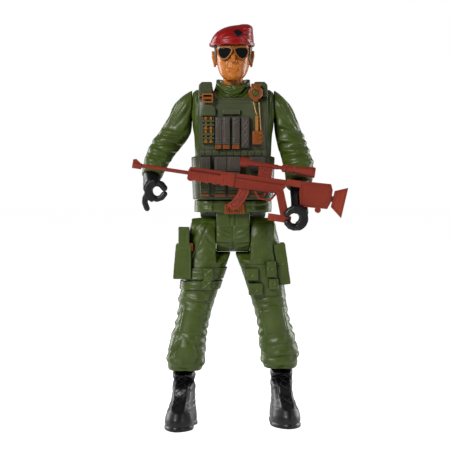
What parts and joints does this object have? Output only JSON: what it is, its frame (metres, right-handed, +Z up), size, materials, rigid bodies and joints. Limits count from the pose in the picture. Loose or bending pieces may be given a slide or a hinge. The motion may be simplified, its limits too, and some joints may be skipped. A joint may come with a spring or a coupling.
{
  "type": "action figure",
  "caption": "Toy soldier figure in green uniform, red beret and sunglasses, with jointed limbs, a chest vest with gear and a sniper rifle in its hand.",
  "frame": {"origin": "middle of the figure's whole footprint, rifle included, on the ground under the soles", "axes": "+Z up through the standing figure, -Y the way it faces, +X towards its own left hand"},
  "size_m": [0.1556, 0.0706, 0.3],
  "materials": {
    "green_plastic": "moulded, semi gloss",
    "olive_plastic": "moulded, satin",
    "grey_brown_plastic": "painted, satin",
    "orange_brown_plastic": "painted, satin",
    "skin_plastic": "moulded, glossy",
    "red_plastic": "moulded, glossy",
    "black_plastic": "moulded, glossy",
    "grey_plastic": "painted, satin",
    "brass_paint": "metallic paint on the moulding",
    "rifle_plastic": "moulded, semi gloss",
    "zinc_steel": "plated screw"
  },
  "bodies": {
    "pelvis": {"pelvis_front": "green_plastic", "pelvis_back": "green_plastic", "pelvis_screw": "zinc_steel", "waist_post": "black_plastic", "belt": "olive_plastic", "belt_buckle": "orange_brown_plastic"},
    "torso": {"torso_front": "green_plastic", "torso_back": "green_plastic", "torso_screws": "zinc_steel", "shirt_collar": "green_plastic", "vest_front": "olive_plastic", "vest_back": "olive_plastic", "shoulder_strap_left": "olive_plastic", "shoulder_strap_right": "olive_plastic", "chest_magazines": "grey_brown_plastic", "magazine_tabs": "orange_brown_plastic", "laced_sheath": "olive_plastic", "shotgun_shells": "brass_paint", "shell_loops": "olive_plastic", "name_tape": "olive_plastic", "chest_pad": "olive_plastic", "webbing": "olive_plastic", "vest_pouches": "olive_plastic", "pouch_lids": "grey_brown_plastic", "pouch_trims": "orange_brown_plastic", "shoulder_lamp": "orange_brown_plastic", "lamp_lens": "olive_plastic", "radio": "orange_brown_plastic", "radio_knobs": "grey_plastic", "radio_aerial": "black_plastic", "radio_leads": "orange_brown_plastic", "strap_buckle": "orange_brown_plastic"},
    "head": {"head": "skin_plastic", "neck_peg": "black_plastic", "hair": "grey_plastic", "sunglass_frame": "black_plastic", "sunglass_lenses": "black_plastic", "beret": "red_plastic", "beret_band": "red_plastic", "beret_badge": "black_plastic"},
    "arm_left": {"arm_left": "green_plastic", "shoulder_peg_left": "black_plastic"},
    "arm_right": {"arm_right": "green_plastic", "shoulder_peg_right": "black_plastic"},
    "hand_left": {"hand_left": "black_plastic"},
    "hand_right": {"hand_right": "black_plastic"},
    "leg_left": {"leg_left": "green_plastic", "hip_peg_left": "black_plastic", "boot_left": "black_plastic", "thigh_panel": "green_plastic", "thigh_pouches": "green_plastic", "side_pouch": "green_plastic"},
    "leg_right": {"leg_right": "green_plastic", "hip_peg_right": "black_plastic", "boot_right": "black_plastic", "thigh_straps": "green_plastic", "strap_keepers": "green_plastic", "holster": "green_plastic"},
    "pistol": {"pistol": "rifle_plastic"},
    "rifle": {"rifle": "rifle_plastic"}
  },
  "joints": [
    {"name": "waist_swivel", "type": "hinge", "parent": "pelvis", "child": "torso", "pos_m": [-0.0048, 0.0132, 0.16], "axis": [0, 0, 1], "range_deg": [-90, 90]},
    {"name": "neck_swivel", "type": "hinge", "parent": "torso", "child": "head", "pos_m": [-0.0048, 0.0152, 0.2575], "axis": [0, 0, 1], "range_deg": [-35, 35]},
    {"name": "shoulder_left", "type": "hinge", "parent": "torso", "child": "arm_left", "pos_m": [0.0257, 0.0132, 0.24], "axis": [-1, 0, 0], "range_deg": [0, 60]},
    {"name": "shoulder_right", "type": "hinge", "parent": "torso", "child": "arm_right", "pos_m": [-0.0353, 0.0132, 0.24], "axis": [1, 0, 0], "range_deg": [0, 270]},
    {"name": "wrist_left", "type": "hinge", "parent": "arm_left", "child": "hand_left", "pos_m": [0.0434, -0.0094, 0.181], "axis": [0.1266, -0.6376, -0.7599], "range_deg": [-20, 0]},
    {"name": "wrist_right", "type": "hinge", "parent": "arm_right", "child": "hand_right", "pos_m": [-0.065, -0.0028, 0.1866], "axis": [-0.2195, -0.5456, -0.8088], "range_deg": [-90, 90]},
    {"name": "hip_left", "type": "hinge", "parent": "pelvis", "child": "leg_left", "pos_m": [0.0076, 0.0132, 0.146], "axis": [-1, 0, 0], "range_deg": [-20, 50]},
    {"name": "hip_right", "type": "hinge", "parent": "pelvis", "child": "leg_right", "pos_m": [-0.0172, 0.0132, 0.146], "axis": [-1, 0, 0], "range_deg": [-20, 90]},
    {"name": "rifle_lift", "type": "slide", "parent": "hand_left", "child": "rifle", "axis": [0, 0, 1], "range_m": [0, 0.034]},
    {"name": "pistol_draw", "type": "slide", "parent": "leg_right", "child": "pistol", "axis": [0, 0, 1], "range_m": [0, 0.025]}
  ]
}
